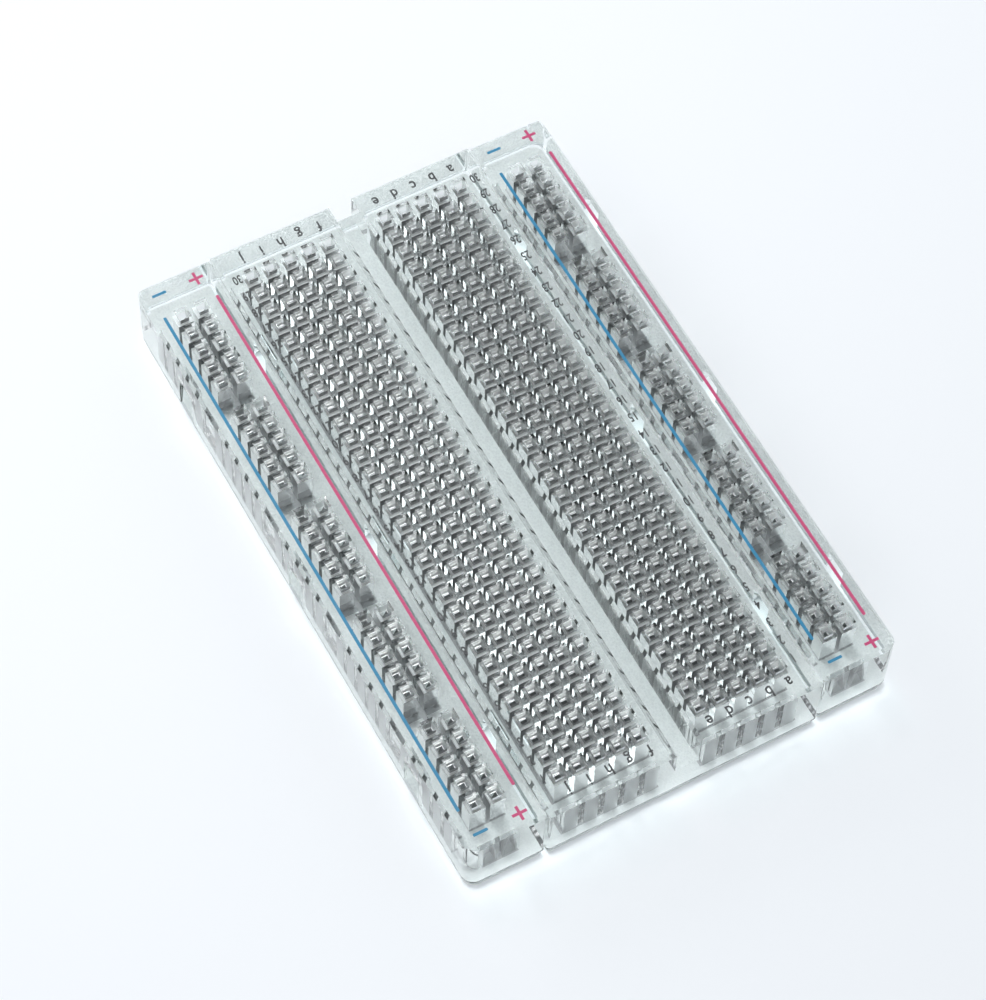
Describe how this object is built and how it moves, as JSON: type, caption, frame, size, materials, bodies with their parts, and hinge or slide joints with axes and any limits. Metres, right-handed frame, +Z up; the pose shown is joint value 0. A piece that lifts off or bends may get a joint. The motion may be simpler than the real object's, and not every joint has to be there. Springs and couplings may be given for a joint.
{
  "type": "solderless breadboard",
  "caption": "Clear solderless breadboard: a grooved terminal strip dovetailed between two power rails, with spring clips under the holes and a foam backing.",
  "frame": {"origin": "underside of the release liner, under the centre of the terminal strip: the face that the board rests on or is stuck down by", "axes": "+X along the terminal strip from row 1 to row 30, +Y across the board from column a to column j, +Z up out of the tie points"},
  "size_m": [0.0826, 0.0556, 0.0099],
  "materials": {
    "clear_plastic": "clear moulded polystyrene or ABS, glossy, with a faint cool tint",
    "spring_metal": "thin plated phosphor-bronze spring sheet, bright and grey",
    "foam": "white closed-cell foam tape, matt",
    "liner": "waxed paper release liner, satin"
  },
  "bodies": {
    "left_rail": {"left_rail_housing": "clear_plastic", "left_bus_clip_minus": "spring_metal", "left_bus_clip_plus": "spring_metal", "left_foam_pad": "foam", "left_release_liner": "liner"},
    "terminal_strip": {"terminal_strip_housing": "clear_plastic", "row_clips_01": "spring_metal", "row_clips_02": "spring_metal", "row_clips_03": "spring_metal", "row_clips_04": "spring_metal", "row_clips_05": "spring_metal", "row_clips_06": "spring_metal", "row_clips_07": "spring_metal", "row_clips_08": "spring_metal", "row_clips_09": "spring_metal", "row_clips_10": "spring_metal", "row_clips_11": "spring_metal", "row_clips_12": "spring_metal", "row_clips_13": "spring_metal", "row_clips_14": "spring_metal", "row_clips_15": "spring_metal", "row_clips_16": "spring_metal", "row_clips_17": "spring_metal", "row_clips_18": "spring_metal", "row_clips_19": "spring_metal", "row_clips_20": "spring_metal", "row_clips_21": "spring_metal", "row_clips_22": "spring_metal", "row_clips_23": "spring_metal", "row_clips_24": "spring_metal", "row_clips_25": "spring_metal", "row_clips_26": "spring_metal", "row_clips_27": "spring_metal", "row_clips_28": "spring_metal", "row_clips_29": "spring_metal", "row_clips_30": "spring_metal", "strip_foam_pad": "foam", "strip_release_liner": "liner"},
    "right_rail": {"right_rail_housing": "clear_plastic", "right_bus_clip_minus": "spring_metal", "right_bus_clip_plus": "spring_metal", "right_foam_pad": "foam", "right_release_liner": "liner"}
  },
  "joints": [
    {"name": "terminal_strip_lift", "type": "slide", "parent": "left_rail", "child": "terminal_strip", "axis": [0, 0, 1], "range_m": [0, 0.012]},
    {"name": "right_rail_lift", "type": "slide", "parent": "terminal_strip", "child": "right_rail", "axis": [0, 0, 1], "range_m": [0, 0.012]}
  ]
}
